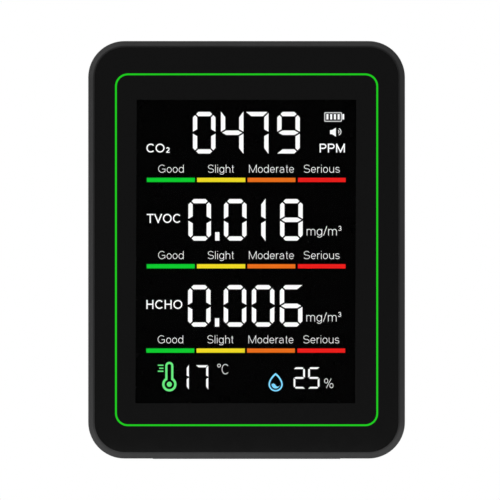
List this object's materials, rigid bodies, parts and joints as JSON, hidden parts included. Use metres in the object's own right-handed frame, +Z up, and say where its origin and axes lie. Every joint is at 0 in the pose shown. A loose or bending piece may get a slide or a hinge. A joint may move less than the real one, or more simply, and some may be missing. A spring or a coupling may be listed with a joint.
{
  "type": "desktop air quality monitor",
  "caption": "Black upright table-top air quality monitor with a lit segment display, a green light ring, air vents, top keys and a fold-out stand at the back.",
  "frame": {"origin": "on the surface that the feet stand on, midway across the width and the depth of the housing", "axes": "+Z up along the height; the display faces -Y; +X is to the right of somebody reading it"},
  "size_m": [0.088, 0.032, 0.1161],
  "materials": {
    "shell_black": "fine spark-textured black ABS",
    "face_black": "smooth satin black",
    "window_lens": "clear acrylic lens with black back print",
    "light_guide_green": "translucent light guide lit green",
    "foot_rubber": "matt black silicone rubber",
    "foam_black": "closed-cell foam",
    "display_film": "dark polarising film",
    "display_glass": "thin float glass",
    "pin_metal": "tin-plated",
    "tray_white": "white moulded plastic",
    "diffuser_white": "frosted film",
    "light_plate_clear": "clear acrylic with printed dots",
    "lamp_strip": "white lamps on a flexible strip",
    "board_green": "green solder mask over glass fibre",
    "steel_screw": "zinc-plated steel",
    "pin_steel": "drawn steel",
    "socket_steel": "nickel-plated stamped steel",
    "part_black": "moulded component black",
    "part_mixed": "ceramic and metal-ended small parts",
    "battery_wrap": "aluminium-laminate pouch",
    "tape_white": "foam-backed adhesive tape",
    "plug_white": "natural nylon",
    "lead_red": "silicone-insulated lead",
    "lead_black": "silicone-insulated lead",
    "sensor_gold": "gold-plated sensor chamber",
    "sensor_can": "drawn steel can",
    "sensor_cap": "white moulded cap",
    "filter_white": "white membrane",
    "filter_black": "fine black mesh",
    "label_grey": "blank dark grey film label",
    "key_black": "satin black key cap"
  },
  "bodies": {
    "housing": {"front_housing": "shell_black", "bezel_plate": "face_black", "status_light_ring": "light_guide_green", "display_window": "window_lens", "front_foot_strip": "foot_rubber", "display_gasket": "foam_black", "display_film": "display_film", "display_front_glass": "display_glass", "display_rear_glass": "display_glass", "display_pins": "pin_metal", "backlight_tray": "tray_white", "backlight_diffuser": "diffuser_white", "backlight_light_plate": "light_plate_clear", "backlight_reflector": "diffuser_white", "backlight_lamps": "lamp_strip", "main_board": "board_green", "board_screws": "steel_screw", "status_lamps": "lamp_strip", "circuit_chips": "part_black", "circuit_passives": "part_mixed", "buzzer": "part_black", "tact_switches": "part_black", "usb_socket_shell": "socket_steel", "usb_socket_core": "part_black", "battery_cell": "battery_wrap", "battery_tape": "tape_white", "battery_socket": "plug_white", "battery_plug": "plug_white", "battery_lead_red": "lead_red", "battery_lead_black": "lead_black", "co2_sensor_board": "board_green", "co2_sensor_body": "sensor_gold", "co2_sensor_filter": "filter_white", "co2_sensor_pins": "pin_metal", "hcho_sensor_can": "sensor_can", "hcho_sensor_cap": "sensor_cap", "hcho_sensor_pins": "pin_metal", "climate_sensor_board": "board_green", "climate_sensor_chip": "part_black", "chamber_seal": "foam_black", "rear_cover": "shell_black", "rear_foot_strip": "foot_rubber", "rear_vent_filter": "filter_black", "side_vent_filter_left": "filter_black", "side_vent_filter_right": "filter_black", "housing_screws": "steel_screw", "rating_label": "label_grey", "stand_pin": "pin_steel", "stand_washers": "plug_white"},
    "stand": {"stand_leg": "shell_black", "stand_foot_pad": "foot_rubber"},
    "power_key": {"power_button": "key_black", "power_switch_plunger": "part_black"},
    "mute_key": {"mute_button": "key_black", "mute_switch_plunger": "part_black"},
    "unit_key": {"unit_button": "key_black", "unit_switch_plunger": "part_black"}
  },
  "joints": [
    {"name": "stand_hinge", "type": "hinge", "parent": "housing", "child": "stand", "pos_m": [0, 0.0126, 0.0706], "axis": [1, 0, 0], "range_deg": [0, 28]},
    {"name": "power_press", "type": "slide", "parent": "housing", "child": "power_key", "axis": [0, 0, -1], "range_m": [0, 0.0005], "stiffness_N_per_m": 2000},
    {"name": "mute_press", "type": "slide", "parent": "housing", "child": "mute_key", "axis": [0, 0, -1], "range_m": [0, 0.0005], "stiffness_N_per_m": 2000},
    {"name": "unit_press", "type": "slide", "parent": "housing", "child": "unit_key", "axis": [0, 0, -1], "range_m": [0, 0.0005], "stiffness_N_per_m": 2000}
  ]
}
